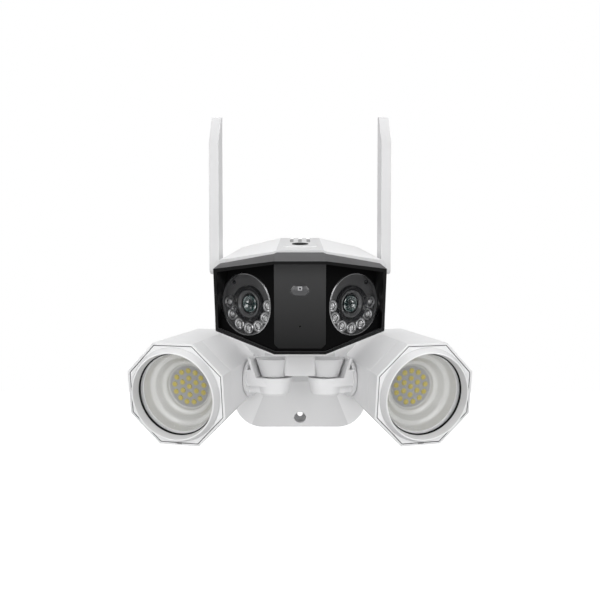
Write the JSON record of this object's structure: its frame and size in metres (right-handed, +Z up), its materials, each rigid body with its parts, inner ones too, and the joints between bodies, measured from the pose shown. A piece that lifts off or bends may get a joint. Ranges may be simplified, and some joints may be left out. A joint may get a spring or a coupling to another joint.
{
  "type": "floodlight security camera",
  "caption": "Wall-mounted security camera with a wide twin-lens head on a pan and tilt joint, folding antennas, and swivelling octagonal floodlights on a T bracket.",
  "frame": {"origin": "centre of the wall base's back face, where it rests on the wall", "axes": "+Z up, +Y into the wall, the front faces -Y, +X to the right as seen from the front"},
  "size_m": [0.29, 0.1772, 0.2775],
  "materials": {
    "gasket_rubber": "soft matt black",
    "galvanised_steel": "satin zinc plated",
    "white_shell": "fine matt texture",
    "screw_steel": "satin",
    "circuit_board": "solder mask",
    "terminal_plastic": "moulded",
    "lamp_glass": "clear, polished",
    "reflector_white": "smooth satin white",
    "led_substrate": "matt light grey",
    "led_phosphor": "soft yellow silicone",
    "sink_aluminium": "as cast",
    "black_frame": "smooth satin black",
    "black_centre": "smooth dark satin",
    "sensor_grey": "smooth",
    "window_glass": "clear, polished",
    "lens_black": "fine matt black",
    "lens_glass": "coated, polished",
    "ir_plate": "matt dark grey",
    "ir_clear": "clear cast resin",
    "antenna_white": "fine matt texture"
  },
  "bodies": {
    "base": {"wall_gasket": "gasket_rubber", "base_plate": "galvanised_steel", "base_housing": "white_shell", "base_screws": "screw_steel", "cable_grommet": "gasket_rubber", "driver_board": "circuit_board", "terminal_block": "terminal_plastic", "t_bracket": "white_shell", "bracket_screws": "screw_steel", "swivel_bolts": "screw_steel", "swivel_washers": "gasket_rubber", "pan_bolt": "screw_steel"},
    "arm_left": {"arm_left": "white_shell", "tilt_bolt_left": "screw_steel"},
    "arm_right": {"arm_right": "white_shell", "tilt_bolt_right": "screw_steel"},
    "lamp_left": {"lamp_body_left": "white_shell", "lamp_collar_left": "white_shell", "lamp_bezel_left": "white_shell", "lamp_seal_left": "gasket_rubber", "lamp_glass_left": "lamp_glass", "reflector_left": "reflector_white", "led_board_left": "led_substrate", "led_chips_left": "led_phosphor", "heat_sink_left": "sink_aluminium", "lamp_cap_left": "white_shell", "lamp_screws_left": "screw_steel"},
    "lamp_right": {"lamp_body_right": "white_shell", "lamp_collar_right": "white_shell", "lamp_bezel_right": "white_shell", "lamp_seal_right": "gasket_rubber", "lamp_glass_right": "lamp_glass", "reflector_right": "reflector_white", "led_board_right": "led_substrate", "led_chips_right": "led_phosphor", "heat_sink_right": "sink_aluminium", "lamp_cap_right": "white_shell", "lamp_screws_right": "screw_steel"},
    "yoke": {"head_fork": "white_shell", "head_pivot": "screw_steel"},
    "head": {"head_shell": "white_shell", "front_frame": "black_frame", "front_panel": "black_frame", "centre_panel": "black_centre", "sensor_window": "sensor_grey", "lens_windows": "window_glass", "lens_barrel_left": "lens_black", "lens_barrel_right": "lens_black", "lens_glasses": "lens_glass", "ir_boards": "ir_plate", "ir_lamps": "ir_clear", "main_board": "circuit_board", "speaker": "lens_black", "head_screws": "screw_steel", "service_plug": "lens_black", "antenna_pivots": "screw_steel"},
    "antenna_left": {"antenna_left": "antenna_white"},
    "antenna_right": {"antenna_right": "antenna_white"}
  },
  "joints": [
    {"name": "left_lamp_swivel", "type": "hinge", "parent": "base", "child": "arm_left", "pos_m": [-0.0222, -0.0845, 0], "axis": [0, 0, 1], "range_deg": [-12, 10]},
    {"name": "right_lamp_swivel", "type": "hinge", "parent": "base", "child": "arm_right", "pos_m": [0.0222, -0.0845, 0], "axis": [0, 0, 1], "range_deg": [-10, 12]},
    {"name": "left_lamp_tilt", "type": "hinge", "parent": "arm_left", "child": "lamp_left", "pos_m": [-0.0222, -0.0845, -0.0071], "axis": [0.9444, -0.3289, 0], "range_deg": [-20, 14]},
    {"name": "right_lamp_tilt", "type": "hinge", "parent": "arm_right", "child": "lamp_right", "pos_m": [0.0222, -0.0845, -0.0071], "axis": [0.9444, 0.3289, 0], "range_deg": [-20, 14]},
    {"name": "head_pan", "type": "hinge", "parent": "base", "child": "yoke", "pos_m": [0, -0.0845, 0.0148], "axis": [0, 0, 1], "range_deg": [-15, 15]},
    {"name": "head_tilt", "type": "hinge", "parent": "yoke", "child": "head", "pos_m": [0, -0.0845, 0.024], "axis": [1, 0, 0], "range_deg": [-18, 8]},
    {"name": "left_antenna_fold", "type": "hinge", "parent": "head", "child": "antenna_left", "pos_m": [-0.0706, -0.10316, 0.08853], "axis": [0.9455, -0.3256, 0], "range_deg": [-30, 60]},
    {"name": "right_antenna_fold", "type": "hinge", "parent": "head", "child": "antenna_right", "pos_m": [0.0706, -0.10316, 0.08853], "axis": [0.9455, 0.3256, 0], "range_deg": [-30, 60]}
  ]
}
